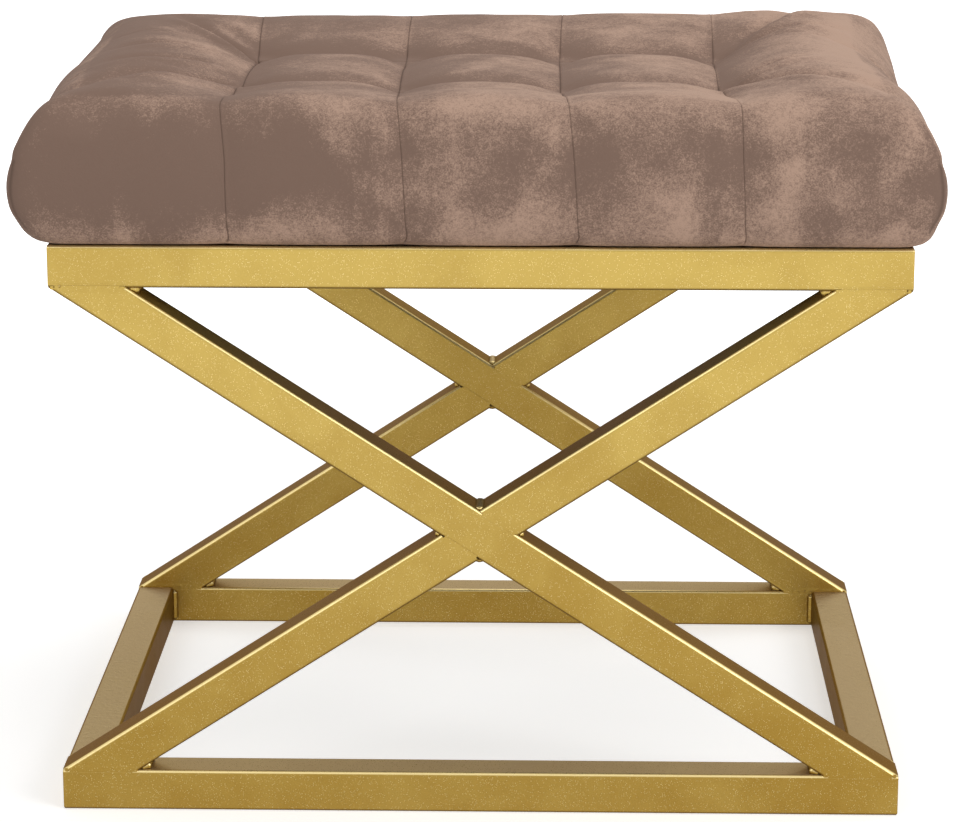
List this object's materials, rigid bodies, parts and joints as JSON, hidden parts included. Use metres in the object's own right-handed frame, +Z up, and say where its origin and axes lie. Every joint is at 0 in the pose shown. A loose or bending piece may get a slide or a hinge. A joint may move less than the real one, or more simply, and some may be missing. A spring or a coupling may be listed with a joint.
{
  "type": "x frame stool",
  "caption": "Low upholstered stool: a tufted velvet seat on a fixed, welded frame of square tube with an X brace at the front and at the rear.",
  "frame": {"origin": "on the floor, under the middle of the stool", "axes": "+X along the wide side, to the right seen from the front; +Y from the front X panel to the rear one; +Z up"},
  "size_m": [0.535, 0.43, 0.434],
  "materials": {
    "gold_paint": "satin",
    "zinc_steel": "satin",
    "staple_wire": "satin",
    "plywood": "matte",
    "dust_cloth": "matte",
    "twine": "matte",
    "white_plastic": "matte",
    "foam": "matte",
    "wadding": "matte",
    "velvet": "matte"
  },
  "bodies": {
    "root": {"front_top_rail": "gold_paint", "front_bottom_rail": "gold_paint", "front_long_brace": "gold_paint", "front_upper_half_brace": "gold_paint", "front_lower_half_brace": "gold_paint", "front_panel_welds": "gold_paint", "front_ground_welds": "gold_paint", "rear_top_rail": "gold_paint", "rear_bottom_rail": "gold_paint", "rear_long_brace": "gold_paint", "rear_upper_half_brace": "gold_paint", "rear_lower_half_brace": "gold_paint", "rear_panel_welds": "gold_paint", "rear_ground_welds": "gold_paint", "left_top_rail": "gold_paint", "right_top_rail": "gold_paint", "left_bottom_rail": "gold_paint", "right_bottom_rail": "gold_paint", "tube_end_plates": "gold_paint", "side_rail_welds": "gold_paint", "seat_fixing_tabs": "gold_paint", "tab_welds": "gold_paint", "seat_screws": "zinc_steel", "seat_screw_washers": "zinc_steel", "seat_threaded_inserts": "zinc_steel", "cover_staples": "staple_wire", "dust_cloth_staples": "staple_wire", "seat_board": "plywood", "dust_cloth": "dust_cloth", "tufting_twines": "twine", "twine_washers": "white_plastic", "seat_foam": "foam", "wadding_layer": "wadding", "velvet_cover": "velvet"}
  },
  "joints": []
}
